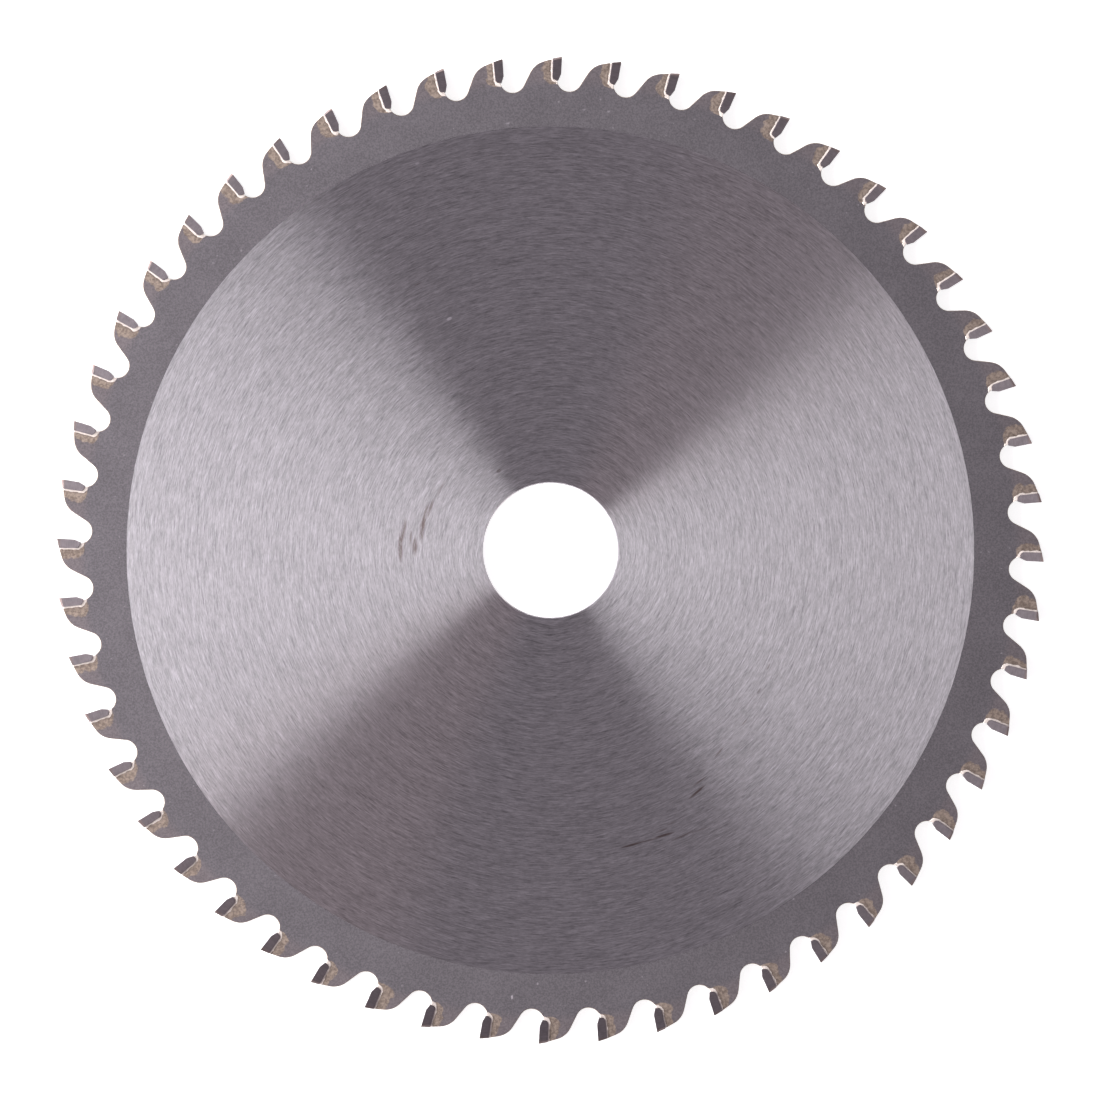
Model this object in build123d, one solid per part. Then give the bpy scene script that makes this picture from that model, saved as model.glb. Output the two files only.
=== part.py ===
from build123d import *
from math import atan2, cos, degrees, radians, sin, sqrt, tan
import os

# A circular saw blade with brazed carbide tips, lying flat. The origin is the centre of
# its bore, halfway through the plate, and +Z runs along the arbor. Seen from +Z the teeth
# point clockwise. The sizes are in millimetres.

# Blade as a whole
BLADE_DIAMETER = 220.0      # across the tall tips
BORE_DIAMETER = 30.0
BORE_CHAMFER = 0.2
PLATE_THICKNESS = 1.8       # at the ground disc, where the saw's flanges clamp it
RING_WIDTH = 15.6           # of the blasted ring, from the tall tips in to the ground disc
RING_RELIEF = 0.02          # of each of its sides, below the ground disc
TOOTH_COUNT = 52            # even, because tall and low tips take turns
FIRST_TOOTH_ANGLE = 88.67   # where the first tooth lies, counterclockwise from +X

# Tooth of the plate, its heights measured from the circle of the tall tips
GULLET_DEPTH = 7.8
GULLET_RADIUS = 2.75
BACK_ANGLE = 65.0           # of the straight back, from the tangent
LAND_ANGLE = 17.0           # of the land behind the tip, from the tangent
SHOULDER_RADIUS = 4.6       # between the land and the back
LAND_STEP = 0.03            # from a low tip's top down to the land

# Carbide tip
TIP_THICKNESS = 1.8         # from the face to the back
TIP_HEIGHT = 5.3            # of a tall tip
TIP_OVERHANG = 0.4          # of its cutting edge past each side of the ground disc
TIP_CORNER = 0.55           # cut off between the back and the foot
HOOK_ANGLE = 1.4            # of the face, which leans the way it cuts, from the radius
TOP_CLEARANCE = 14.0        # slopes of the top and of the two flanks, in degrees
SIDE_CLEARANCE = 3.0
FOOT_CLEARANCE = 1.0
FACE_BEVEL_HEIGHT = 1.1     # at the front of the foot
FACE_BEVEL_DEPTH = 0.65
LOW_TIP_DROP = 0.1          # from a tall tip's top to a low one's
TALL_TIP_CHAMFER = 0.45     # at both corners of a tall tip's top

# Braze between a tip and its seat
BRAZE_GAP = 0.12
BRAZE_FILLET_WIDTH = 0.7    # on the plate
BRAZE_FILLET_SHARE = 0.85   # of the flank's lowest overhang that the fillet climbs

# Worked out from the sizes above
PITCH_ANGLE = 360 / TOOTH_COUNT
TIP_CIRCLE_RADIUS = BLADE_DIAMETER / 2
GROUND_DISC_RADIUS = TIP_CIRCLE_RADIUS - RING_WIDTH
KERF = PLATE_THICKNESS + 2 * TIP_OVERHANG
RING_THICKNESS = PLATE_THICKNESS - 2 * RING_RELIEF


def at(x, y):
    """A point of the tooth at the top of the blade: x runs the way it cuts, y out from the tip circle."""
    return Vector(x, TIP_CIRCLE_RADIUS + y)


def slope(angle):
    """The way that climbs at this angle from the tangent, the way the tooth cuts."""
    return Vector(cos(radians(angle)), sin(radians(angle)))


def tip_top(x, tall=False):
    """Height of a tip's top at x."""
    return x * tan(radians(TOP_CLEARANCE)) - (0 if tall else LOW_TIP_DROP)


def seat_line(gap, top):
    """Corners down a tip's back and round to the front of its foot, on a line a gap further out."""
    left = -TIP_THICKNESS - gap
    low = -TIP_HEIGHT - gap
    corner = TIP_CORNER + gap * (2 - sqrt(2))
    return [at(left, top), at(left, low + corner), at(left + corner, low), at(-FACE_BEVEL_DEPTH - gap, low)]


def seat():
    """Corners of the plate's seat, from the land to the gullet."""
    return seat_line(BRAZE_GAP, tip_top(-TIP_THICKNESS) - LAND_STEP)


def gullet():
    """The round bottom of the gullet before a tooth, from the front of its seat to the next back."""
    start = seat()[-1]
    centre_y = TIP_CIRCLE_RADIUS - GULLET_DEPTH + GULLET_RADIUS
    centre = Vector(start.X + sqrt(GULLET_RADIUS**2 - (centre_y - start.Y) ** 2), centre_y)
    start_angle = degrees(atan2(start.Y - centre.Y, start.X - centre.X)) % 360
    end_angle = 270 + BACK_ANGLE - PITCH_ANGLE
    return CenterArc(centre, GULLET_RADIUS, start_angle, end_angle - start_angle)


def tooth_edges():
    """The plate's edge over one pitch: gullet behind the tooth, back, shoulder, land and seat."""
    floor = gullet().rotate(Axis.Z, PITCH_ANGLE)
    foot = floor @ 1
    land = seat()[0]
    crown = Axis(foot, slope(BACK_ANGLE)).intersect(Axis(land, slope(LAND_ANGLE)))
    room = 0.9 * min((crown - foot).length, (crown - land).length)
    radius = min(SHOULDER_RADIUS, room / tan(radians(BACK_ANGLE - LAND_ANGLE) / 2))
    back = FilletPolyline(foot, crown, land, radius=radius)
    return [floor, *back.edges(), *Polyline(seat()).edges()]


def saw_plate():
    """The steel plate: a toothed ring, with a seat for each tip, round a slightly thicker bored disc."""
    turns = [-k * PITCH_ANGLE for k in range(TOOTH_COUNT)]
    outline = Wire([edge.rotate(Axis.Z, turn) for turn in turns for edge in tooth_edges()])
    ring = extrude(Face(outline), RING_THICKNESS / 2, both=True)
    disc = Cylinder(GROUND_DISC_RADIUS, PLATE_THICKNESS)
    plate = ring + disc - Cylinder(BORE_DIAMETER / 2, PLATE_THICKNESS)
    rims = plate.edges().filter_by(GeomType.CIRCLE)
    bore_rims = rims.filter_by(lambda rim: abs(rim.radius - BORE_DIAMETER / 2) < 0.001)
    return chamfer(bore_rims, BORE_CHAMFER)


def tip_profile(top_front, top_back):
    """Side view of a tip, with its top at these heights at the face and at the back."""
    bevel_top = FACE_BEVEL_HEIGHT - TIP_HEIGHT
    face = [at(bevel_top * tan(radians(HOOK_ANGLE)), bevel_top), at(0, top_front)]
    return make_face(Polyline([*seat_line(0, top_back), *face], close=True).edges())


def carbide_tip(tall):
    """One tip: its side view to the full kerf, then both flanks ground back from the cutting edge."""
    profile = tip_profile(tip_top(0, tall), tip_top(-TIP_THICKNESS, tall))
    tip = extrude(profile, KERF / 2, both=True)
    flank = Vector(-tan(radians(SIDE_CLEARANCE)), -tan(radians(FOOT_CLEARANCE)), 1).normalized()
    top = slope(TOP_CLEARANCE + 90)
    corner = at(0, 0) + Vector(0, 0, KERF / 2)
    grinds = [Plane(corner, z_dir=flank)]
    if tall:
        grinds.append(Plane(corner - Vector(0, TALL_TIP_CHAMFER), z_dir=flank + top))
    for grind in grinds:
        tip = split(tip, grind, keep=Keep.BOTTOM)
        tip = split(mirror(tip, Plane.XY), grind, keep=Keep.BOTTOM)
    return tip


def fillet_section(gap, height):
    """Level cut through a fillet and its tip, where the fillet reaches this far from the tip."""
    back, corner, foot, _ = seat_line(gap, 0)
    front = seat()[-1].X
    outline = Polyline([back, corner, foot, Vector(front, foot.Y), Vector(front, back.Y)], close=True)
    return make_face(outline.edges()).moved(Pos(0, 0, height))


def braze_fillet():
    """The sloping fillet between one side of the ring and a tip's back, corner and foot."""
    drop = TIP_THICKNESS * tan(radians(SIDE_CLEARANCE)) + TIP_HEIGHT * tan(radians(FOOT_CLEARANCE))
    bottom = RING_THICKNESS / 2
    top = bottom + BRAZE_FILLET_SHARE * (KERF / 2 - drop - bottom)
    block = loft([fillet_section(BRAZE_FILLET_WIDTH, bottom), fillet_section(0, top)], ruled=True)
    return block - extrude(tip_profile(0, 0), KERF)


def braze_joint():
    """The braze that holds one tip: a layer of even thickness in its seat and a fillet on each side."""
    inner = seat_line(0, 0)
    outer = seat_line(BRAZE_GAP, 0)
    layer = make_face(Polyline([*outer, *reversed(inner)], close=True).edges())
    fillet_above = braze_fillet()
    joint = extrude(layer, RING_THICKNESS / 2, both=True) + fillet_above + mirror(fillet_above, Plane.XY)
    return split(joint, Plane(seat()[0], z_dir=slope(LAND_ANGLE + 90)), keep=Keep.BOTTOM)


def main():
    os.makedirs("parts", exist_ok=True)
    turns = [FIRST_TOOTH_ANGLE - 90 + k * PITCH_ANGLE for k in range(TOOTH_COUNT)]
    export_step(saw_plate().rotate(Axis.Z, turns[0]), "parts/saw_plate.step")
    tips = [carbide_tip(tall=True), carbide_tip(tall=False)]
    for number, turn in enumerate(turns):
        tip = tips[number % 2].rotate(Axis.Z, turn)
        export_step(tip, f"parts/carbide_tip_{number + 1:02}.step")
    joint = braze_joint()
    joints = Compound([solid for turn in turns for solid in joint.rotate(Axis.Z, turn).solids()])
    export_step(joints, "parts/braze_joints.step")


main()
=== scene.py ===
import logging
import math
import random
from dataclasses import dataclass, replace
from enum import Enum
from typing import Callable, Sequence

import bmesh
import bpy
from mathutils import Matrix, Vector


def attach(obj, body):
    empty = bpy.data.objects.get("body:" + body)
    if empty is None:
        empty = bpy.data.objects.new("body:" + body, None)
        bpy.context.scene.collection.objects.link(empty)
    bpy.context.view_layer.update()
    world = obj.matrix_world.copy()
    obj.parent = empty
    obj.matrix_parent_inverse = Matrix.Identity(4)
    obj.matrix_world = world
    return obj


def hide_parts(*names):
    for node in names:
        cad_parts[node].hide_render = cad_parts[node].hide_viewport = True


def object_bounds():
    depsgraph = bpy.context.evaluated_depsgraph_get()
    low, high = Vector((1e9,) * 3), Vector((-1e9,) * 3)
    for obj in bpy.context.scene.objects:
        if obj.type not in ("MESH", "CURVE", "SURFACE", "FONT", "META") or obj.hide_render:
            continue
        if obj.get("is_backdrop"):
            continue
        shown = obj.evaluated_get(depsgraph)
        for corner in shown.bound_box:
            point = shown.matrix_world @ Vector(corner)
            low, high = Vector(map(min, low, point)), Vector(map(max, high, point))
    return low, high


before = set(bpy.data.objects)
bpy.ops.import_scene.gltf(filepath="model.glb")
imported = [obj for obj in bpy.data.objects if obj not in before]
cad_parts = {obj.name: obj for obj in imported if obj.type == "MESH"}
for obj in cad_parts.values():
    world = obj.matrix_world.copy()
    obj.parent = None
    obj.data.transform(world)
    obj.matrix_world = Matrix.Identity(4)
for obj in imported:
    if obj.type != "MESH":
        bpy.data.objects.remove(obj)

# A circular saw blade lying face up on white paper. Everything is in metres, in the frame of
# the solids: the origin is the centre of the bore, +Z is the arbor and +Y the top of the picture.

MM = 0.001
LOG = logging.getLogger("saw_blade")
ROOT_BODY = "root"

Socket = bpy.types.NodeSocket
Value = float | Socket
Colour = tuple[float, float, float]


class Side(Enum):
    """One of the blade's two sides, with the sign of its height."""

    UPPER = 1
    LOWER = -1


class Slot(Enum):
    """A material slot that a piece is paired with."""

    STEEL = "plate_steel"
    CARBIDE = "carbide"
    BRAZE = "braze"


@dataclass(frozen=True)
class BladeSizes:
    """Sizes that the sub-assemblies share, as the solids have them."""

    tip_circle: float = 110.0 * MM
    bore: float = 15.0 * MM
    ground_disc: float = 94.4 * MM
    ring_height: float = 0.88 * MM
    teeth: int = 52
    first_tooth: float = math.radians(88.67)

    @property
    def pitch(self) -> float:
        """Angle from one tooth to the next."""
        return math.tau / self.teeth

    @property
    def first_turn(self) -> float:
        """Turn that takes a piece from the top of the blade to the first tooth."""
        return self.first_tooth - math.pi / 2


BLADE = BladeSizes()


@dataclass(frozen=True)
class Grain:
    """Soft noise over a surface: grains to the unit, finer layers on top, and the tones that it gives."""

    scale: float
    detail: float = 2.0
    roughness: float = 0.5
    darkest: float = 0.0
    lightest: float = 1.0


@dataclass(frozen=True)
class Relief:
    """How deep a finish is, and how strongly the shading shows it."""

    strength: float
    depth: float


@dataclass(frozen=True)
class Hairline:
    """One layer of ground marks: their width and length, its weight, and the centre they run round."""

    width: float
    length: float
    seed: float
    weight: float = 1.0
    centre: tuple[float, float] = (0.0, 0.0)


@dataclass(frozen=True)
class Mark:
    """One streak, scratch or fleck: its place and size, how it changes the tone, and its lean off the arc."""

    x: float
    y: float
    length: float
    width: float
    change: float
    lean: float = 0.0


class Shading:
    """A material's node tree, with short calls that add nodes and link them."""

    NOISE_SPAN = (0.3, 0.7)     # where most of a noise's values lie
    MARK_END = 1.3              # square of the distance at which a mark has faded, in half sizes
    RING_SPACING = 7.31         # between rings of hairlines, in the noise that draws them
    ALONG_HAIRLINE = Grain(1.0, 3.0, 0.7)
    MIX_SHARE, MIX_FIRST, MIX_SECOND, MIX_RESULT = 0, 6, 7, 2   # sockets of a mix of colours

    def __init__(self, name: str) -> None:
        """Makes an empty material.

        Args:
            name: The material's name.
        """
        self.material = bpy.data.materials.new(name)
        self.material.use_nodes = True
        self.tree = self.material.node_tree
        self.tree.nodes.clear()
        self.output = self.tree.nodes.new("ShaderNodeOutputMaterial")

    def node(self, kind: str, inputs: dict[str | int, object] | None = None,
             **settings: object) -> bpy.types.Node:
        """Adds a node.

        Args:
            kind: The node's type, without the word ShaderNode in front.
            inputs: Values or sockets for its inputs, by name or place.
            settings: Its other settings.

        Returns:
            The new node.
        """
        made = self.tree.nodes.new("ShaderNode" + kind)
        for key, value in settings.items():
            setattr(made, key, value)
        for key, value in (inputs or {}).items():
            self.feed(made.inputs[key], value)
        return made

    def feed(self, socket: Socket, value: object) -> None:
        """Links a socket to another one, or sets its value.

        Args:
            socket: The input to fill.
            value: A socket, a number or a tuple.
        """
        if isinstance(value, bpy.types.NodeSocket):
            self.tree.links.new(value, socket)
        elif socket.type == "RGBA":
            socket.default_value = (*value, 1.0)
        else:
            socket.default_value = value

    def maths(self, operation: str, a: Value, b: Value = 0.0, c: Value = 0.0) -> Socket:
        """One step of arithmetic, by Blender's name for it, on as many values as it takes."""
        return self.node("Math", {0: a, 1: b, 2: c}, operation=operation).outputs[0]

    def vector(self, operation: str, inputs: dict[str | int, object]) -> Socket:
        """One step of arithmetic on vectors, by Blender's name for it."""
        return self.node("VectorMath", inputs, operation=operation).outputs[0]

    def between(self, value: Value, low: float, high: float,
                to_low: float = 0.0, to_high: float = 1.0) -> Socket:
        """Takes a value from the range low to high over to another, smoothly and held at the ends."""
        inputs = {"Value": value, "From Min": low, "From Max": high, "To Min": to_low, "To Max": to_high}
        return self.node("MapRange", inputs, interpolation_type="SMOOTHSTEP").outputs["Result"]

    def noise(self, vector: Socket, grain: Grain) -> Socket:
        """Soft noise from 0 to 1 at each point of a vector."""
        sizes = {"Scale": grain.scale, "Detail": grain.detail, "Roughness": grain.roughness}
        return self.node("TexNoise", {"Vector": vector, **sizes}).outputs["Fac"]

    def tone(self, noise: Value, grain: Grain) -> Socket:
        """Factor that darkens a colour where a noise is low and lightens it where it is high."""
        return self.between(noise, *self.NOISE_SPAN, grain.darkest, grain.lightest)

    def bump(self, height: Socket, relief: Relief) -> Socket:
        """Tilt that a height gives the surface."""
        inputs = {"Strength": relief.strength, "Distance": relief.depth, "Height": height}
        return self.node("Bump", inputs).outputs[0]

    def mix(self, share: Value, a: object, b: object, blend: str = "MIX") -> Socket:
        """Mixes two colours.

        Args:
            share: How much of the second shows.
            a: First colour.
            b: Second colour.
            blend: The way they mix.

        Returns:
            The mixed colour.
        """
        made = self.node("Mix", data_type="RGBA", blend_type=blend)
        for place, value in ((self.MIX_SHARE, share), (self.MIX_FIRST, a), (self.MIX_SECOND, b)):
            self.feed(made.inputs[place], value)
        return made.outputs[self.MIX_RESULT]

    def coordinates(self) -> Socket:
        """Where a point of the surface lies, in the blade's frame."""
        return self.node("TexCoord").outputs["Object"]

    def flattened(self, vector: Socket) -> Socket:
        """A vector without its height."""
        return self.vector("MULTIPLY", {0: vector, 1: (1.0, 1.0, 0.0)})

    def polar(self, coordinates: Socket, centre: tuple[float, float] = (0.0, 0.0)) -> tuple[Socket, Socket]:
        """Where a point lies round a centre.

        Args:
            coordinates: The point.
            centre: The centre's place, seen from above.

        Returns:
            Its distance from the centre and its angle round it.
        """
        flat = self.flattened(self.vector("SUBTRACT", {0: coordinates, 1: (*centre, 0.0)}))
        parts = self.node("SeparateXYZ", {0: flat}).outputs
        radius = self.node("VectorMath", {0: flat}, operation="LENGTH").outputs["Value"]
        return radius, self.maths("ARCTAN2", parts[1], parts[0])

    def shaded(self, colour: object, *tones: Socket) -> Socket:
        """Darkens and lightens a colour.

        Args:
            colour: The colour.
            tones: Factors near 1 that multiply it.

        Returns:
            The changed colour.
        """
        tone = tones[0]
        for other in tones[1:]:
            tone = self.maths("MULTIPLY", tone, other)
        grey = self.node("CombineXYZ", {0: tone, 1: tone, 2: tone}).outputs[0]
        return self.mix(1.0, colour, grey, "MULTIPLY")

    def radial(self, coordinates: Socket, lean: Value = 0.0) -> Socket:
        """Way out from the arbor, across the marks of grinding.

        Args:
            coordinates: Where the point lies.
            lean: Share of the way round the arbor that is mixed in.

        Returns:
            A vector in the blade's plane.
        """
        outward = self.vector("NORMALIZE", {0: self.flattened(coordinates)})
        around = self.vector("CROSS_PRODUCT", {0: (0.0, 0.0, 1.0), 1: outward})
        leaned = self.vector("SCALE", {0: around, "Scale": lean})
        return self.vector("ADD", {0: outward, 1: leaned})

    def hairlines(self, coordinates: Socket, line: Hairline) -> Socket:
        """Short arcs round a centre, each ring of them starting at its own angle.

        Args:
            coordinates: Where the point lies.
            line: The arcs' sizes and centre.

        Returns:
            Their height, from 0 to 1.
        """
        radius, angle = self.polar(coordinates, line.centre)
        ring = self.maths("FLOOR", self.maths("DIVIDE", radius, line.width))
        key = self.maths("ADD", ring, line.seed)
        start = self.node("TexWhiteNoise", {"W": key}, noise_dimensions="1D").outputs[0]
        turned = self.maths("WRAP", self.maths("MULTIPLY_ADD", start, math.tau, angle), math.pi, -math.pi)
        along = self.maths("DIVIDE", self.maths("MULTIPLY", turned, radius), line.length)
        across = self.maths("MULTIPLY", ring, self.RING_SPACING)
        spot = self.node("CombineXYZ", {0: along, 1: across, 2: line.seed}).outputs[0]
        return self.noise(spot, self.ALONG_HAIRLINE)

    def marked(self, coordinates: Socket, marks: Sequence[Mark], texture: Value = 1.0) -> Socket:
        """Tone of streaks, scratches and flecks that lie round the arbor.

        Args:
            coordinates: Where the point lies.
            marks: The marks.
            texture: Factor that breaks them up.

        Returns:
            A factor, 1 where the surface is clean.
        """
        radius, angle = self.polar(coordinates)
        tone: Value = 1.0
        for mark in marks:
            reach, place = math.hypot(mark.x, mark.y), math.atan2(mark.y, mark.x)
            turned = self.maths("WRAP", self.maths("SUBTRACT", angle, place), math.pi, -math.pi)
            middle = self.maths("MULTIPLY_ADD", turned, reach * math.tan(math.radians(mark.lean)), reach)
            across = self.maths("DIVIDE", self.maths("SUBTRACT", radius, middle), mark.width / 2)
            along = self.maths("MULTIPLY", turned, 2 * reach / mark.length)
            square = self.maths("MULTIPLY_ADD", across, across, self.maths("MULTIPLY", along, along))
            change = self.between(square, 0.0, self.MARK_END, mark.change, 0.0)
            change = self.maths("MULTIPLY", change, texture)
            tone = self.maths("MULTIPLY", tone, self.maths("ADD", 1.0, change))
        return tone

    def principled(self, inputs: dict[str | int, object]) -> bpy.types.Material:
        """Makes the surface's shader and hands over the material."""
        return self.finish(self.node("BsdfPrincipled", inputs).outputs[0])

    def finish(self, shader: Socket) -> bpy.types.Material:
        """Links the surface to its shader and hands over the material."""
        self.tree.links.new(shader, self.output.inputs["Surface"])
        return self.material


@dataclass(frozen=True)
class GroundSteel:
    """The disc's finish: bare steel brushed in circles round the arbor, with a few marks of handling."""

    name: str = "ground_steel"
    colour: Colour = (0.5, 0.473, 0.505)
    roughness: float = 0.38
    anisotropy: float = 1.0
    relief: Relief = Relief(0.18, 0.004 * MM)
    height_span: float = 0.6            # height of the marks at which their tone is full
    darkest: float = 0.37
    lightest: float = 1.63
    sheen: float = -0.06                # how their height changes the roughness
    wobble: float = 0.07                # how it leans the brushing
    swirl: float = -1.0                 # lean of the brushing for each metre further out
    straight_at: float = 57.5 * MM      # where it runs true round the arbor
    layers: tuple[Hairline, ...] = (
        Hairline(0.16 * MM, 2.3 * MM, 3.0),
        Hairline(0.19 * MM, 5.8 * MM, 11.0, centre=(2.6 * MM, 1.3 * MM)),
        Hairline(0.22 * MM, 3.5 * MM, 17.0, centre=(-1.7 * MM, -3.0 * MM)),
        Hairline(0.6 * MM, 18.0 * MM, 29.0, weight=0.25),
    )
    smudges: tuple[Mark, ...] = (
        Mark(-33.4 * MM, 0.9 * MM, 7.6 * MM, 1.3 * MM, -0.68),
        Mark(-32.6 * MM, 4.7 * MM, 5.2 * MM, 1.2 * MM, -0.54),
        Mark(-31.2 * MM, 2.6 * MM, 4.0 * MM, 0.9 * MM, -0.42),
        Mark(-30.2 * MM, 0.9 * MM, 4.4 * MM, 1.4 * MM, -0.62),
        Mark(-28.6 * MM, 4.6 * MM, 6.2 * MM, 1.2 * MM, -0.58, -4.0),
        Mark(-27.9 * MM, 7.6 * MM, 6.6 * MM, 1.0 * MM, -0.56, -4.0),
        Mark(-26.7 * MM, 9.4 * MM, 4.8 * MM, 0.9 * MM, -0.46),
        Mark(-24.4 * MM, 13.8 * MM, 4.8 * MM, 0.8 * MM, -0.34),
        Mark(-11.4 * MM, 17.7 * MM, 1.4 * MM, 0.8 * MM, -0.7),
    )
    scratches: tuple[Mark, ...] = (
        Mark(37.5 * MM, -45.1 * MM, 3.4 * MM, 0.5 * MM, -0.5, -10.0),
        Mark(33.1 * MM, -51.6 * MM, 4.4 * MM, 0.5 * MM, -0.5, -3.0),
        Mark(32.6 * MM, -53.9 * MM, 5.2 * MM, 0.62 * MM, -0.75, -9.0),
        Mark(24.7 * MM, -62.4 * MM, 3.0 * MM, 0.5 * MM, -0.4),
        Mark(25.3 * MM, -63.5 * MM, 5.0 * MM, 0.62 * MM, -0.75, 5.0),
        Mark(18.2 * MM, -65.6 * MM, 6.0 * MM, 0.6 * MM, -0.7),
        Mark(22.0 * MM, -64.6 * MM, 4.6 * MM, 0.5 * MM, -0.45, 5.0),
        Mark(29.3 * MM, -63.7 * MM, 5.6 * MM, 0.5 * MM, -0.5),
        Mark(33.3 * MM, -62.3 * MM, 5.4 * MM, 0.45 * MM, -0.3, 8.0),
        Mark(26.9 * MM, -60.8 * MM, 2.6 * MM, 0.45 * MM, -0.4),
        Mark(43.2 * MM, -38.4 * MM, 2.2 * MM, 0.5 * MM, -0.45),
        Mark(48.5 * MM, -26.0 * MM, 2.0 * MM, 0.5 * MM, -0.4),
        Mark(46.4 * MM, -31.5 * MM, 2.2 * MM, 0.5 * MM, -0.35),
        Mark(-29.5 * MM, 59.3 * MM, 2.2 * MM, 0.5 * MM, -0.35),
    )
    flecks: tuple[Mark, ...] = (
        Mark(-22.4 * MM, 51.6 * MM, 1.5 * MM, 0.7 * MM, 0.9),
        Mark(-29.5 * MM, 86.2 * MM, 1.2 * MM, 0.5 * MM, 0.6),
    )
    smudge_streaks: Hairline = Hairline(0.2 * MM, 3.2 * MM, 41.0)
    streak_span: tuple[float, float] = (0.32, 0.6)
    streak_share: tuple[float, float] = (0.35, 1.15)
    soil: Colour = (0.13, 0.075, 0.06)

    def material(self) -> bpy.types.Material:
        """Builds the material.

        Returns:
            Brushed steel.
        """
        s = Shading(self.name)
        coordinates = s.coordinates()
        height: Value = 0.0
        for layer in self.layers:
            line = s.hairlines(coordinates, layer)
            height = s.maths("MULTIPLY_ADD", s.maths("SUBTRACT", line, 0.5), layer.weight, height)
        tone = s.node("MapRange", {
            "Value": height, "From Min": -self.height_span, "From Max": self.height_span,
            "To Min": self.darkest, "To Max": self.lightest}).outputs["Result"]
        colour = s.shaded(self.colour, tone, s.marked(coordinates, self.flecks))
        soiled = s.maths("SUBTRACT", 1.0, self._cleanness(s, coordinates))
        radius, _ = s.polar(coordinates)
        lean = s.maths("MULTIPLY", s.maths("SUBTRACT", radius, self.straight_at), self.swirl)
        return s.principled({
            "Base Color": s.mix(soiled, colour, self.soil), "Metallic": 1.0,
            "Roughness": s.maths("MULTIPLY_ADD", height, self.sheen, self.roughness),
            "Anisotropic": self.anisotropy,
            "Tangent": s.radial(coordinates, s.maths("MULTIPLY_ADD", height, self.wobble, lean)),
            "Normal": s.bump(height, self.relief)})

    def _cleanness(self, s: Shading, coordinates: Socket) -> Socket:
        """Share of bare steel that the smudges and scratches leave.

        Args:
            s: The material's tree.
            coordinates: Where the point lies.

        Returns:
            A factor, 1 where the disc is clean.
        """
        lines = s.hairlines(coordinates, self.smudge_streaks)
        streaks = s.between(lines, *self.streak_span, *self.streak_share)
        smudged = s.marked(coordinates, self.smudges, streaks)
        return s.maths("MULTIPLY", smudged, s.marked(coordinates, self.scratches))


@dataclass(frozen=True)
class BlastedSteel:
    """The toothed ring's finish: matte grey with a fine even grain, a few bright flecks and painted glints.
    """

    name: str = "blasted_steel"
    colour: Colour = (0.194, 0.178, 0.195)
    warmed: Colour = (0.225, 0.196, 0.209)
    warm_from: float = 102.8 * MM
    warm_to: float = 105.6 * MM
    patchiness: tuple[float, float, float, float] = (0.25, 0.6, 0.7, 1.0)   # of the warm colour
    roughness: float = 0.66
    relief: Relief = Relief(0.5, 0.01 * MM)
    grain: Grain = Grain(2600.0, 2.0, 0.6, 0.83, 1.17)
    cloud: Grain = Grain(90.0, darkest=0.96, lightest=1.04)
    # painted glints: the noise's highest spots lighten the colour, standing in for lamp light caught by
    # blasted facets
    painted_glint: Grain = Grain(1100.0, 0.0, darkest=1.0, lightest=1.5)
    painted_glint_span: tuple[float, float] = (0.8, 0.86)
    flecks: tuple[Mark, ...] = (
        Mark(-9.4 * MM, 95.1 * MM, 1.2 * MM, 0.5 * MM, 0.7),
        Mark(2.0 * MM, 99.9 * MM, 0.6 * MM, 0.5 * MM, 0.6),
        Mark(7.6 * MM, 98.1 * MM, 0.9 * MM, 0.5 * MM, 0.5),
        Mark(13.1 * MM, 97.7 * MM, 0.7 * MM, 0.5 * MM, 0.8),
        Mark(-8.7 * MM, -99.5 * MM, 0.5 * MM, 1.1 * MM, 1.8),
        Mark(-3.0 * MM, -96.5 * MM, 0.5 * MM, 0.7 * MM, 0.9),
    )

    def surface(self, s: Shading, coordinates: Socket) -> tuple[Socket, Socket]:
        """Colour and height of the blasted surface.

        Args:
            s: The material's tree.
            coordinates: Where the point lies.

        Returns:
            The colour and the height.
        """
        grain = s.noise(coordinates, self.grain)
        cloud = s.noise(coordinates, self.cloud)
        # painted glints: lighter spots of colour where the blasted facets would catch the lamps
        painted_glint = s.noise(coordinates, self.painted_glint)
        tones = (s.tone(grain, self.grain), s.tone(cloud, self.cloud),
                 s.between(painted_glint, *self.painted_glint_span, self.painted_glint.darkest, self.painted_glint.lightest),
                 s.marked(coordinates, self.flecks))
        radius, _ = s.polar(coordinates)
        warmth = s.maths("MULTIPLY", s.between(radius, self.warm_from, self.warm_to),
                         s.between(cloud, *self.patchiness))
        return s.shaded(s.mix(warmth, self.colour, self.warmed), *tones), grain

    def material(self) -> bpy.types.Material:
        """Builds the material.

        Returns:
            Blasted steel.
        """
        s = Shading(self.name)
        colour, height = self.surface(s, s.coordinates())
        return s.principled({"Base Color": colour, "Metallic": 1.0, "Roughness": self.roughness,
                             "Normal": s.bump(height, self.relief)})


@dataclass(frozen=True)
class CutEdge:
    """The finish of a cut through the plate, with fine lines across it."""

    name: str
    colour: Colour
    metallic: float
    roughness: float
    relief: Relief = Relief(0.3, 0.01 * MM)
    lines: Grain = Grain(1.0, 3.0, darkest=0.82, lightest=1.18)
    lines_to_metre: tuple[float, float, float] = (700.0, 700.0, 6000.0)

    def material(self) -> bpy.types.Material:
        """Builds the material.

        Returns:
            Cut steel.
        """
        s = Shading(self.name)
        lines = s.noise(s.vector("MULTIPLY", {0: s.coordinates(), 1: self.lines_to_metre}), self.lines)
        return s.principled({"Base Color": s.shaded(self.colour, s.tone(lines, self.lines)),
                             "Metallic": self.metallic, "Roughness": self.roughness,
                             "Normal": s.bump(lines, self.relief)})


TANNED_CUT = CutEdge("tanned_cut", (0.3, 0.23, 0.185), 0.5, 0.6)
BORED_CUT = CutEdge("bored_cut", (0.5, 0.47, 0.5), 1.0, 0.45)


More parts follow.
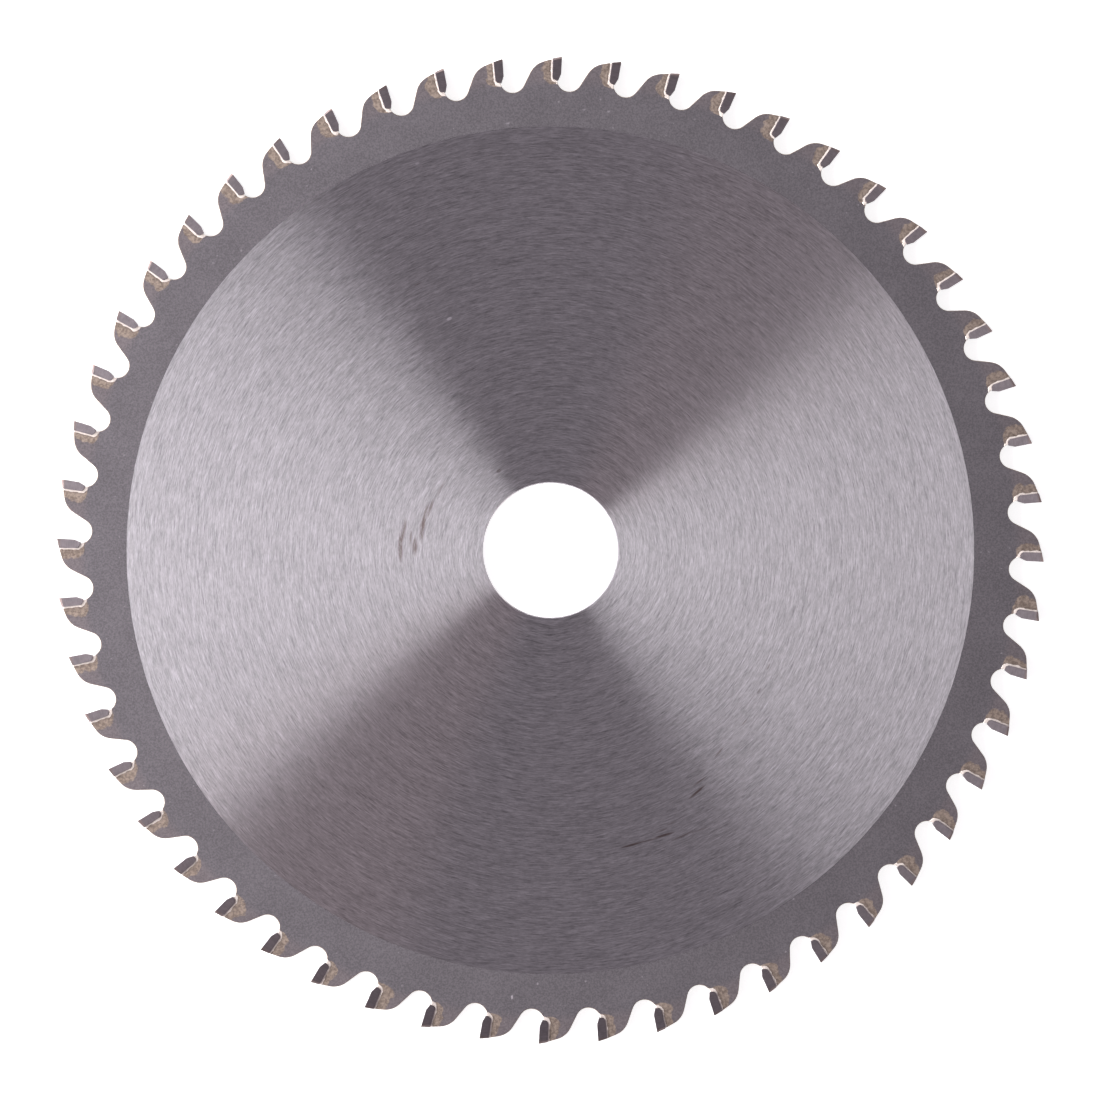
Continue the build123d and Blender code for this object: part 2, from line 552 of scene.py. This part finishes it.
@dataclass(frozen=True)
class GroundCarbide:
    """The tips' finish: dark grey carbide, ground in fine lines round the arbor."""

    name: str = "ground_carbide"
    colour: Colour = (0.26, 0.227, 0.245)
    scorched: Colour = (0.29, 0.222, 0.21)
    scorch_from: float = 108.7 * MM
    scorch_to: float = 109.9 * MM
    roughness: float = 0.54
    anisotropy: float = 0.72
    relief: Relief = Relief(0.3, 0.004 * MM)
    lines: Hairline = Hairline(0.12 * MM, 2.0 * MM, 5.0)
    line_tones: Grain = Grain(1.0, darkest=0.9, lightest=1.1)
    cloud: Grain = Grain(900.0, darkest=0.93, lightest=1.07)

    def material(self) -> bpy.types.Material:
        """Builds the material.

        Returns:
            Ground carbide.
        """
        s = Shading(self.name)
        coordinates = s.coordinates()
        radius, _ = s.polar(coordinates)
        lines = s.hairlines(coordinates, self.lines)
        cloud = s.noise(coordinates, self.cloud)
        scorch = s.between(radius, self.scorch_from, self.scorch_to)
        colour = s.shaded(s.mix(scorch, self.colour, self.scorched),
                          s.tone(lines, self.line_tones), s.tone(cloud, self.cloud))
        return s.principled({"Base Color": colour, "Metallic": 1.0, "Roughness": self.roughness,
                             "Anisotropic": self.anisotropy, "Tangent": s.radial(coordinates),
                             "Normal": s.bump(lines, self.relief)})


@dataclass(frozen=True)
class SilverBraze:
    """The fillets' finish: bright silvery braze, slightly uneven."""

    name: str = "silver_braze"
    colour: Colour = (0.85, 0.762, 0.712)
    metallic: float = 0.35
    roughness: float = 0.55
    relief: Relief = Relief(0.5, 0.02 * MM)
    cloud: Grain = Grain(1400.0, 3.0, darkest=0.85, lightest=1.08)

    def material(self) -> bpy.types.Material:
        """Builds the material.

        Returns:
            Silvery braze.
        """
        s = Shading(self.name)
        cloud = s.noise(s.coordinates(), self.cloud)
        return s.principled({"Base Color": s.shaded(self.colour, s.tone(cloud, self.cloud)),
                             "Metallic": self.metallic, "Roughness": self.roughness,
                             "Normal": s.bump(cloud, self.relief)})


@dataclass(frozen=True)
class BronzeFilm:
    """The finish of the braze that ran out over the ring: dull bronze that thins away in blotches, with
    painted shade by the fillet.
    """

    attribute: str
    ring: BlastedSteel
    name: str = "bronze_film"
    dull: Colour = (0.24, 0.189, 0.162)
    pale: Colour = (0.45, 0.369, 0.318)
    relief: Relief = Relief(0.5, 0.012 * MM)
    blotch: Grain = Grain(1000.0, 5.0, 0.7)
    specks: Grain = Grain(1800.0, 3.0, 0.6)
    raggedness: float = 0.9                                             # of the far edge
    fade: tuple[float, float] = (0.64, 0.9)                             # into the ring's finish
    shade: tuple[float, float, float, float] = (0.08, 0.3, 0.87, 1.0)   # painted shade beside the fillet

    def material(self) -> bpy.types.Material:
        """Builds the material.

        Returns:
            Bronze that blends into the ring's own finish at its far edge.
        """
        s = Shading(self.name)
        coordinates = s.coordinates()
        steel, grain = self.ring.surface(s, coordinates)
        share = s.node("Attribute", attribute_name=self.attribute).outputs["Fac"]
        blotch = s.noise(coordinates, self.blotch)
        specks = s.noise(coordinates, self.specks)
        reach = s.maths("MULTIPLY_ADD", s.maths("SUBTRACT", blotch, 0.5), self.raggedness, share)
        bronze = s.mix(s.tone(specks, self.specks), self.dull, self.pale)
        # painted shade: the bronze is darker beside the fillet, where shade falls
        bronze = s.shaded(bronze, s.between(share, *self.shade))
        return s.principled({"Base Color": s.mix(s.between(reach, *self.fade), bronze, steel),
                             "Metallic": 1.0, "Roughness": self.ring.roughness,
                             "Normal": s.bump(s.maths("ADD", blotch, grain), self.relief)})


@dataclass(frozen=True)
class WhitePaper:
    """The floor's finish: matte white that the camera sees as the background, shadows and all."""

    name: str = "white_paper"
    colour: Colour = (0.8, 0.8, 0.8)
    fibre: Grain = Grain(700.0, darkest=0.97, lightest=1.0)
    lift: float = 0.78

    def material(self) -> bpy.types.Material:
        """Builds the material.

        Returns:
            White paper.
        """
        s = Shading(self.name)
        fibre = s.noise(s.coordinates(), self.fibre)
        matte = s.node("BsdfDiffuse", {"Color": s.shaded(self.colour, s.tone(fibre, self.fibre))}).outputs[0]
        path = s.node("LightPath").outputs
        seen = s.maths("MAXIMUM", path["Is Camera Ray"], path["Is Glossy Ray"])
        seen = s.maths("MAXIMUM", seen, path["Is Transmission Ray"])
        glow = s.node("Emission", {"Strength": s.maths("MULTIPLY", seen, self.lift)}).outputs[0]
        return s.finish(s.node("AddShader", {0: matte, 1: glow}).outputs[0])


def merged_copy(node: str, name: str) -> bpy.types.Object:
    """Copies a node's mesh and joins its loose triangles.

    Args:
        node: The node's name.
        name: The copy's name.

    Returns:
        The copy, linked to the scene.
    """
    same_place, same_plane = 0.0001 * MM, math.radians(0.5)
    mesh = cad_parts[node].data.copy()
    mesh.name = name
    mesh.materials.clear()
    form = bmesh.new()
    form.from_mesh(mesh)
    bmesh.ops.remove_doubles(form, verts=form.verts, dist=same_place)
    bmesh.ops.dissolve_limit(form, angle_limit=same_plane, verts=form.verts, edges=form.edges)
    form.to_mesh(mesh)
    form.free()
    return link(mesh, name)


def link(mesh: bpy.types.Mesh, name: str) -> bpy.types.Object:
    """Puts a mesh in the scene as an object at the origin.

    Args:
        mesh: The mesh.
        name: The object's name.

    Returns:
        The object.
    """
    piece = bpy.data.objects.new(name, mesh)
    bpy.context.scene.collection.objects.link(piece)
    return piece


def mesh_from(name: str, build: Callable[[bmesh.types.BMesh], None]) -> bpy.types.Mesh:
    """Makes a mesh by a function that fills it.

    Args:
        name: The mesh's name.
        build: The function.

    Returns:
        The mesh, its faces turned outwards.
    """
    form = bmesh.new()
    build(form)
    bmesh.ops.recalc_face_normals(form, faces=form.faces)
    mesh = bpy.data.meshes.new(name)
    form.to_mesh(mesh)
    form.free()
    return mesh


def break_edges(form: bmesh.types.BMesh, edges: list[bmesh.types.BMEdge], offset: float) -> None:
    """Rounds edges a little, as handling and grinding do."""
    bmesh.ops.bevel(form, geom=edges, offset=offset, segments=2, profile=0.5,
                    affect="EDGES", clamp_overlap=True)


def skin(form: bmesh.types.BMesh, rings: Sequence[Sequence[Vector]]) -> None:
    """Adds a closed tube through rings of points, with a cap at each end.

    Args:
        form: The mesh to add to.
        rings: The rings, each with as many points.
    """
    verts = [[form.verts.new(point) for point in ring] for ring in rings]
    count = len(verts[0])
    for near, far in zip(verts, verts[1:]):
        for k in range(count):
            form.faces.new((near[k], near[(k + 1) % count], far[(k + 1) % count], far[k]))
    form.faces.new(verts[0])
    form.faces.new(reversed(verts[-1]))


class ToothRing:
    """The node tree that sets copies of one piece round the blade, and roughens them a little."""

    INPUTS = (
        ("Count", "NodeSocketInt"),
        ("Step angle", "NodeSocketFloat"),
        ("Unevenness", "NodeSocketFloat"),
        ("Grain size", "NodeSocketFloat"),
        ("Seed", "NodeSocketFloat"),
        ("Finish", "NodeSocketMaterial"),
    )

    def __init__(self) -> None:
        """Builds the tree once, for every ring of pieces."""
        self.tree = bpy.data.node_groups.new("tooth_ring", "GeometryNodeTree")
        face = self.tree.interface
        face.new_socket("Geometry", in_out="INPUT", socket_type="NodeSocketGeometry")
        for name, kind in self.INPUTS:
            face.new_socket(name, in_out="INPUT", socket_type=kind)
        face.new_socket("Geometry", in_out="OUTPUT", socket_type="NodeSocketGeometry")
        self._wire()

    def _add(self, kind: str, **settings: object) -> bpy.types.Node:
        """Adds one node to the tree.

        Args:
            kind: The node's type.
            settings: Its settings.

        Returns:
            The new node.
        """
        made = self.tree.nodes.new(kind)
        for key, value in settings.items():
            setattr(made, key, value)
        return made

    def _wire(self) -> None:
        """Links points at the arbor, turned copies, unevenness and finish, in that order."""
        link_to = self.tree.links.new
        given = self._add("NodeGroupInput").outputs
        points = self._add("GeometryNodePoints")
        link_to(given["Count"], points.inputs["Count"])
        turn = self._add("ShaderNodeMath", operation="MULTIPLY")
        link_to(self._add("GeometryNodeInputIndex").outputs[0], turn.inputs[0])
        link_to(given["Step angle"], turn.inputs[1])
        rotation = self._add("ShaderNodeCombineXYZ")
        link_to(turn.outputs[0], rotation.inputs["Z"])
        copies = self._add("GeometryNodeInstanceOnPoints")
        link_to(points.outputs[0], copies.inputs["Points"])
        link_to(given["Geometry"], copies.inputs["Instance"])
        link_to(rotation.outputs[0], copies.inputs["Rotation"])
        solid = self._add("GeometryNodeRealizeInstances")
        link_to(copies.outputs[0], solid.inputs[0])

        noise = self._add("ShaderNodeTexNoise", noise_dimensions="4D")
        link_to(self._add("GeometryNodeInputPosition").outputs[0], noise.inputs["Vector"])
        link_to(given["Seed"], noise.inputs["W"])
        link_to(given["Grain size"], noise.inputs["Scale"])
        centred = self._add("ShaderNodeVectorMath", operation="SUBTRACT")
        link_to(noise.outputs["Color"], centred.inputs[0])
        centred.inputs[1].default_value = (0.5, 0.5, 0.5)
        push = self._add("ShaderNodeVectorMath", operation="SCALE")
        link_to(centred.outputs[0], push.inputs[0])
        link_to(given["Unevenness"], push.inputs["Scale"])
        moved = self._add("GeometryNodeSetPosition")
        link_to(solid.outputs[0], moved.inputs["Geometry"])
        link_to(push.outputs[0], moved.inputs["Offset"])
        dressed = self._add("GeometryNodeSetMaterial")
        link_to(moved.outputs[0], dressed.inputs["Geometry"])
        link_to(given["Finish"], dressed.inputs["Material"])
        link_to(dressed.outputs[0], self._add("NodeGroupOutput").inputs[0])

    def spread(self, piece: bpy.types.Object, count: int, step: float, finish: bpy.types.Material,
               unevenness: float = 0.0, grain: float = 1000.0, seed: float = 1.0) -> None:
        """Sets copies of a piece round the blade and makes the result its plain mesh.

        Args:
            piece: The piece, at the first place.
            count: How many copies there are, itself among them.
            step: Angle from one copy to the next.
            finish: Their material.
            unevenness: How far the noise moves a point, at most.
            grain: Grains of the noise to the metre.
            seed: Number that picks the noise.
        """
        values = {"Count": count, "Step angle": step, "Unevenness": unevenness,
                  "Grain size": grain, "Seed": seed, "Finish": finish}
        modifier = piece.modifiers.new("ring", "NODES")
        modifier.node_group = self.tree
        for item in self.tree.interface.items_tree:
            if item.in_out == "INPUT" and item.name in values:
                modifier[item.identifier] = values[item.name]
        evaluated = piece.evaluated_get(bpy.context.evaluated_depsgraph_get())
        plain = bpy.data.meshes.new_from_object(evaluated)
        piece.modifiers.clear()
        piece.data = plain


class PlateZone(Enum):
    """A part of the plate's surface that has a finish of its own, by its place among the materials."""

    GROUND_DISC = 0
    BLASTED_RING = 1
    TANNED_EDGE = 2
    BORE = 3


@dataclass
class SawPlate:
    """The steel plate: ground disc, blasted ring and cut edges, with its corners broken."""

    corner: float = 0.12 * MM
    sharp: float = math.radians(60)
    margin: float = 0.3 * MM
    level: float = 0.99     # a face whose normal rises this much lies flat

    def build(self) -> bpy.types.Object:
        """Makes the plate from the node's mesh.

        Returns:
            The dressed plate.
        """
        plate = merged_copy("saw_plate", "dressed_plate")
        for finish in (GroundSteel(), BlastedSteel(), TANNED_CUT, BORED_CUT):
            plate.data.materials.append(finish.material())
        form = bmesh.new()
        form.from_mesh(plate.data)
        self._break_corners(form)
        for face in form.faces:
            face.material_index = self._zone(face).value
            face.smooth = abs(face.normal.z) < self.level
        form.to_mesh(plate.data)
        form.free()
        return plate

    def _break_corners(self, form: bmesh.types.BMesh) -> None:
        """Bevels the sharp edges round the outline.

        Args:
            form: The plate's mesh.
        """
        sharp = [edge for edge in form.edges
                 if len(edge.link_faces) == 2
                 and edge.calc_face_angle() > self.sharp
                 and min(vert.co.xy.length for vert in edge.verts) > BLADE.ground_disc + self.margin]
        break_edges(form, sharp, self.corner)

    def _zone(self, face: bmesh.types.BMFace) -> PlateZone:
        """Tells which part of the surface a face belongs to.

        Args:
            face: A face of the plate.

        Returns:
            Its zone.
        """
        farthest = max(vert.co.xy.length for vert in face.verts)
        on_disc = farthest < BLADE.ground_disc + self.margin
        if abs(face.normal.z) > self.level:
            return PlateZone.GROUND_DISC if on_disc else PlateZone.BLASTED_RING
        if farthest < BLADE.bore + self.margin:
            return PlateZone.BORE
        return PlateZone.GROUND_DISC if on_disc else PlateZone.TANNED_EDGE


@dataclass
class CarbideTips:
    """The cutting tips, in two kinds that take turns, with their ground edges just broken."""

    corner: float = 0.03 * MM
    sharp: float = math.radians(20)
    back: float = -1.8 * MM
    forward: float = 0.23 * MM
    at_face: float = 0.9    # share of the way from the back to the face
    bevel_top: float = -4.2 * MM
    bevel_rise: float = 0.35 * MM

    def build(self, ring: ToothRing) -> list[bpy.types.Object]:
        """Makes both kinds of tip and sets them round the blade.

        Args:
            ring: The tree that sets pieces round the blade.

        Returns:
            The tall tips and the low tips.
        """
        finish = GroundCarbide().material()
        made = []
        for first, name in ((1, "tall_tips"), (2, "low_tips")):
            tip = merged_copy(self.node(first), name)
            form = bmesh.new()
            form.from_mesh(tip.data)
            self._bring_forward(form, BLADE.first_turn + (first - 1) * BLADE.pitch)
            sharp = [edge for edge in form.edges if edge.calc_face_angle(0.0) > self.sharp]
            break_edges(form, sharp, self.corner)
            form.to_mesh(tip.data)
            form.free()
            ring.spread(tip, BLADE.teeth // 2, 2 * BLADE.pitch, finish)
            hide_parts(*[self.node(k) for k in range(first, BLADE.teeth + 1, 2)])
            made.append(tip)
        return made

    def _bring_forward(self, form: bmesh.types.BMesh, angle: float) -> None:
        """Thickens a tip at its face, as the picture shows it, and lengthens the bevel under the face.

        Args:
            form: The tip's mesh.
            angle: The tip's turn from the top of the blade.
        """
        turn = Matrix.Rotation(angle, 4, "Z")
        for vert in form.verts:
            place = turn.inverted() @ vert.co
            share = 1 - place.x / self.back
            if share > self.at_face and place.y < BLADE.tip_circle + self.bevel_top + self.corner:
                place.y += self.bevel_rise
            place.x += self.forward * share
            vert.co = turn @ place

    @staticmethod
    def node(number: int) -> str:
        """Name of the node of one tip."""
        return f"carbide_tip_{number:02}"


@dataclass
class SeatLine:
    """The line round a tip's back, corner and foot, and the edges of the plate that it ends at."""

    back: float = -1.8 * MM
    foot: float = -5.3 * MM
    corner: float = 0.8 * MM
    land_at_seat: float = -0.579 * MM
    seat: float = -1.92 * MM
    land_slope: float = math.tan(math.radians(17.0))
    shoulder_start: float = -3.95 * MM
    shoulder_centre: tuple[float, float] = (-2.608 * MM, -5.6 * MM)
    shoulder_radius: float = 4.6 * MM
    gullet_centre: tuple[float, float] = (1.955 * MM, -5.05 * MM)
    gullet_radius: float = 2.75 * MM
    back_steps: int = 12
    corner_steps: int = 8
    foot_steps: int = 4

    @property
    def steps(self) -> int:
        """How many points the line has."""
        return self.back_steps + self.corner_steps + self.foot_steps

    def land(self, x: float) -> float:
        """Height of the land, and of the shoulder behind it.

        Args:
            x: Place along the tooth.

        Returns:
            The height.
        """
        if x > self.shoulder_start:
            return self.land_at_seat + (x - self.seat) * self.land_slope
        across = min(abs(x - self.shoulder_centre[0]), self.shoulder_radius)
        return self.shoulder_centre[1] + math.sqrt(self.shoulder_radius**2 - across**2)

    def gullet_edge(self, y: float) -> float:
        """Where the gullet's side is at this height."""
        drop = min(abs(y - self.gullet_centre[1]), self.gullet_radius)
        return self.gullet_centre[0] - math.sqrt(self.gullet_radius**2 - drop**2)

    def point(self, step: float, gap: float) -> Vector:
        """A point on the line that lies a gap further out from the tip.

        Args:
            step: How far along, from 0 at the land to the last step at the gullet.
            gap: Distance from the tip.

        Returns:
            The point at the top of the blade, with no height.
        """
        left = self.back - gap
        low = self.foot - gap
        radius = self.corner + gap
        turn_start = low + radius
        if step <= self.back_steps:
            share = step / self.back_steps
            x, y = left, self.land(left) + (turn_start - self.land(left)) * share
        elif step <= self.back_steps + self.corner_steps:
            angle = math.pi / 2 * (step - self.back_steps) / self.corner_steps
            x = left + radius * (1 - math.cos(angle))
            y = turn_start - radius * math.sin(angle)
        else:
            share = (step - self.back_steps - self.corner_steps) / (self.foot_steps - 1)
            start = left + radius
            x, y = start + (self.gullet_edge(low) - start) * share, low
        return Vector((x, BLADE.tip_circle + y, 0.0))


@dataclass
class BrazeJoints:
    """The braze in the seats, with a hollow fillet on each side of the ring."""

    line: SeatLine
    width: float = 0.58 * MM
    foot_width: float = 1.0 * MM
    height: float = 0.07 * MM
    foot_height: float = 0.1 * MM
    seat_gap: float = 0.12 * MM
    sink: float = 0.02 * MM
    lip: float = 0.005 * MM         # thickness at the fillet's outer end
    run_out: float = 1.5            # powers that give the fillet its hollow
    hollow: float = 1.6
    undercut: float = 0.9           # width of the sunk part, as a share of the fillet's
    curve_steps: int = 6
    unevenness: float = 0.12 * MM
    grain: float = 900.0
    seed: float = 4.0

    def build(self, ring: ToothRing) -> bpy.types.Object:
        """Makes one joint and sets copies of it round the blade.

        Args:
            ring: The tree that sets pieces round the blade.

        Returns:
            All the joints in one piece.
        """
        turn = Matrix.Rotation(BLADE.first_turn, 4, "Z")

        def fill(form: bmesh.types.BMesh) -> None:
            """Skins one joint along the seat."""
            skin(form, [[turn @ (self.line.point(step, gap) + Vector((0.0, 0.0, z)))
                         for gap, z in self._profile(step)] for step in range(self.line.steps)])

        mesh = mesh_from("braze_fillets", fill)
        mesh.shade_smooth()
        joints = link(mesh, "braze_fillets")
        ring.spread(joints, BLADE.teeth, BLADE.pitch, SilverBraze().material(),
                    self.unevenness, self.grain, self.seed)
        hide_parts("braze_joints")
        return joints

    def _profile(self, step: int) -> list[tuple[float, float]]:
        """Section of a joint as pairs of distance from the tip and height, upper side first.

        Args:
            step: How far along the seat it is.

        Returns:
            The pairs.
        """
        top = BLADE.ring_height
        past_back = max(step - self.line.back_steps, 0) / (self.line.steps - 1 - self.line.back_steps)
        width = self.width + (self.foot_width - self.width) * past_back
        height = self.height + (self.foot_height - self.height) * past_back
        upper = []
        for k in range(self.curve_steps + 1):
            share = k / self.curve_steps
            rise = height * (1 - share**self.run_out) ** self.hollow
            upper.append((width * share, top + rise + self.lip))
        upper.append((width * self.undercut, top - self.sink))
        upper.append((self.seat_gap, top - self.sink))
        return upper + [(gap, -z) for gap, z in reversed(upper)]


@dataclass
class BrazeFilm:
    """The thin braze that ran out over the ring beside each joint, no two alike."""

    line: SeatLine
    seed: int = 7
    size: tuple[float, float] = (0.78, 1.24)
    waves: tuple[tuple[float, float], ...] = ((0.12, 1.0), (0.07, 2.3), (0.04, 4.1))    # depths, waves
    inner: float = 0.3 * MM
    margin: float = 0.08 * MM
    broad: float = 2.4 * MM         # reach along the tip's back, and how it bulges halfway
    bulge: float = 0.8 * MM
    bulge_end: float = 0.8
    narrow: float = 1.15 * MM       # reach under the foot, and where it starts to shrink to it
    narrows_from: float = 0.58
    narrows_over: float = 0.25
    thickness: float = 0.03 * MM
    thinning: float = 1.2
    sink: float = 0.012 * MM
    sink_late: float = 4.0          # power that keeps the sinking to the far edge
    underside: float = 0.036 * MM
    sharp: float = math.radians(35)
    columns: int = 7
    rows_per_step: int = 2
    attribute: str = "spread"

    def build(self) -> bpy.types.Object:
        """Makes the films of both sides of every tooth.

        Returns:
            All the films in one piece.
        """
        source = random.Random(self.seed)

        def fill(form: bmesh.types.BMesh) -> None:
            """Adds each tooth's two films.

            Args:
                form: The mesh to add to.
            """
            layer = form.verts.layers.float.new(self.attribute)
            for tooth in range(BLADE.teeth):
                turn = Matrix.Rotation(BLADE.first_turn + tooth * BLADE.pitch, 4, "Z")
                for side in Side:
                    self._add_film(form, turn, side, source, layer)

        film = link(mesh_from("braze_film", fill), "braze_film")
        film.data.materials.append(BronzeFilm(self.attribute, BlastedSteel()).material())
        film.data.shade_smooth()
        film.data.set_sharp_from_angle(angle=self.sharp)
        return film

    def _add_film(self, form: bmesh.types.BMesh, turn: Matrix, side: Side, source: random.Random,
                  layer: bmesh.types.BMLayerItem) -> None:
        """Adds one film, and marks how far each of its points has run.

        Args:
            form: The mesh to add to.
            turn: Turn from the top of the blade to the tooth.
            side: The side of the blade.
            source: Where its chance sizes come from.
            layer: The layer that holds the marks.
        """
        size = source.uniform(*self.size)
        waves = [(depth, source.uniform(0.0, math.tau), rate) for depth, rate in self.waves]
        rows = (self.line.steps - 1) * self.rows_per_step + 1
        rings = []
        for row in range(rows):
            share = row / (rows - 1)
            wave = sum(depth * math.sin(start + rate * math.tau * share) for depth, start, rate in waves)
            reach = self._reach(share) * size * (1 + wave)
            rings.append([turn @ point for point in self._section(row / self.rows_per_step, reach, side)])
        form.verts.index_update()
        first = len(form.verts)
        skin(form, rings)
        form.verts.ensure_lookup_table()
        count = self.columns + 2
        marks = [k / (self.columns - 1) for k in range(self.columns)] + [1.0, 0.0]
        for place, vert in enumerate(form.verts[first:]):
            vert[layer] = marks[place % count]

    @property
    def edges(self) -> SeatLine:
        """The seat's line, with the plate's edges brought in by the margin.

        Returns:
            The line.
        """
        line = self.line
        return replace(line, land_at_seat=line.land_at_seat - self.margin,
                       shoulder_radius=line.shoulder_radius - self.margin,
                       gullet_radius=line.gullet_radius + self.margin)

    def _reach(self, share: float) -> float:
        """How far the film usually runs from the tip.

        Args:
            share: Share of the way from the land to the gullet.

        Returns:
            The reach.
        """
        broad = self.broad + self.bulge * math.sin(math.pi * min(share / self.bulge_end, 1.0))
        blend = min(max((share - self.narrows_from) / self.narrows_over, 0.0), 1.0)
        return broad * (1 - blend) + self.narrow * blend

    def _section(self, step: float, reach: float, side: Side) -> list[Vector]:
        """One cut across a film, its upper skin first and then its sunk underside.

        Args:
            step: How far along the seat it is.
            reach: How far the film runs there.
            side: The side of the blade.

        Returns:
            The cut's points, for the tooth at the top of the blade.
        """
        line = self.edges
        top = []
        for k in range(self.columns):
            share = k / (self.columns - 1)
            gap = self.inner + (reach - self.inner) * share
            rise = self.thickness * (1 - share) ** self.thinning - self.sink * share**self.sink_late
            top.append(line.point(step, gap) + Vector((0.0, 0.0, side.value * (BLADE.ring_height + rise))))
        low = Vector((0.0, 0.0, side.value * (BLADE.ring_height - self.underside)))
        return top + [line.point(step, reach) + low, line.point(step, self.inner) + low]


@dataclass(frozen=True)
class Softbox:
    """One soft lamp beside the blade: a tilted panel that spans two angles round the arbor."""

    name: str
    facing: float           # angles in degrees, counterclockwise from the right of the picture
    first_end: float
    last_end: float
    level: float
    distance: float = 0.8
    height: float = 0.4
    depth: float = 0.4
    colour: Colour = (1.0, 1.0, 1.0)

    def build(self) -> None:
        """Puts the lamp in the scene, turned to the blade."""
        start = self.distance * math.tan(math.radians(self.first_end - self.facing))
        end = self.distance * math.tan(math.radians(self.last_end - self.facing))
        lamp = bpy.data.lights.new(self.name, "AREA")
        lamp.shape = "RECTANGLE"
        lamp.size = end - start
        lamp.size_y = self.depth
        lamp.energy = math.pi * lamp.size * lamp.size_y * self.level
        lamp.color = self.colour
        holder = bpy.data.objects.new(self.name, lamp)
        bpy.context.scene.collection.objects.link(holder)
        turn = Matrix.Rotation(math.radians(self.facing), 4, "Z")
        holder.location = turn @ Vector((self.distance, (start + end) / 2, self.height))
        aim = turn @ Vector((-self.distance, 0.0, -self.height))
        holder.rotation_euler = aim.to_track_quat("-Z", "Y").to_euler()
        holder.visible_camera = False


@dataclass
class Studio:
    """The plain studio: white floor, dim room, soft lamps at the left and a camera straight above."""

    floor_half: float = 6.0
    room: float = 0.316
    room_colour: Colour = (1.0, 0.925, 1.0)
    lamps: tuple[Softbox, ...] = (
        Softbox("left_softbox", 180.0, 125.5, 216.8, 9.8),
        Softbox("left_core", 180.0, 133.0, 210.0, 4.9),
        Softbox("warm_edge", 228.0, 207.0, 247.0, 0.7, 0.75, 0.55, 0.4, (1.0, 0.68, 0.6)),
    )
    lens: float = 200.0
    sensor: float = 36.0
    photo_pixels: float = 1100.0
    metres_per_pixel: float = 0.22284 * MM
    blade_column: float = 550.34
    blade_row: float = 550.24
    roll: float = math.radians(-0.09)

    def build(self) -> None:
        """Makes floor, room, lamps and camera."""
        self._floor()
        self._room()
        for lamp in self.lamps:
            lamp.build()
        self._camera()
        bpy.context.scene.view_settings.view_transform = "Standard"

    def _floor(self) -> None:
        """Lays the floor under the lowest point of the tips."""
        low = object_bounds()[0].z
        half = self.floor_half

        def fill(form: bmesh.types.BMesh) -> None:
            """Adds one face."""
            corners = ((-half, -half), (half, -half), (half, half), (-half, half))
            form.faces.new([form.verts.new((x, y, low)) for x, y in corners])

        floor = link(mesh_from("floor", fill), "floor")
        floor.data.materials.append(WhitePaper().material())
        floor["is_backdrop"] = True

    def _room(self) -> None:
        """Fills the room with dim even light, and shows the camera a white one."""
        world = bpy.data.worlds.new("room")
        world.use_nodes = True
        tree = world.node_tree
        light = tree.nodes["Background"]
        light.inputs["Color"].default_value = (*self.room_colour, 1.0)
        path = tree.nodes.new("ShaderNodeLightPath")
        strength = tree.nodes.new("ShaderNodeMix")
        share, dim, white = strength.inputs[0], strength.inputs[2], strength.inputs[3]
        dim.default_value = self.room
        white.default_value = 1.0
        tree.links.new(path.outputs["Is Camera Ray"], share)
        tree.links.new(strength.outputs[0], light.inputs["Strength"])
        bpy.context.scene.world = world

    def _camera(self) -> None:
        """Hangs the camera over the blade so that the picture is framed as the photograph."""
        camera = bpy.data.cameras.new("camera")
        camera.lens = self.lens
        camera.sensor_width = self.sensor
        holder = bpy.data.objects.new("camera", camera)
        bpy.context.scene.collection.objects.link(holder)
        middle = self.photo_pixels / 2
        width = self.photo_pixels * self.metres_per_pixel
        holder.location = (
            (middle - self.blade_column) * self.metres_per_pixel,
            (self.blade_row - middle) * self.metres_per_pixel,
            width * self.lens / self.sensor,
        )
        holder.rotation_euler = (0.0, 0.0, self.roll)
        bpy.context.scene.camera = holder


def main() -> None:
    """Builds the blade and the studio round it."""
    logging.basicConfig(level=logging.INFO, format="%(message)s")
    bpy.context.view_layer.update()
    ring = ToothRing()

    plate = SawPlate().build()
    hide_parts("saw_plate")
    line = SeatLine()
    pieces = [(plate, Slot.STEEL)]
    pieces += [(tips, Slot.CARBIDE) for tips in CarbideTips().build(ring)]
    pieces.append((BrazeJoints(line).build(ring), Slot.BRAZE))
    pieces.append((BrazeFilm(line).build(), Slot.BRAZE))
    for piece, slot in pieces:
        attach(piece, ROOT_BODY)
        LOG.info("%s: %d faces", piece.name, len(piece.data.polygons))

    Studio().build()


if __name__ == "__main__":
    main()
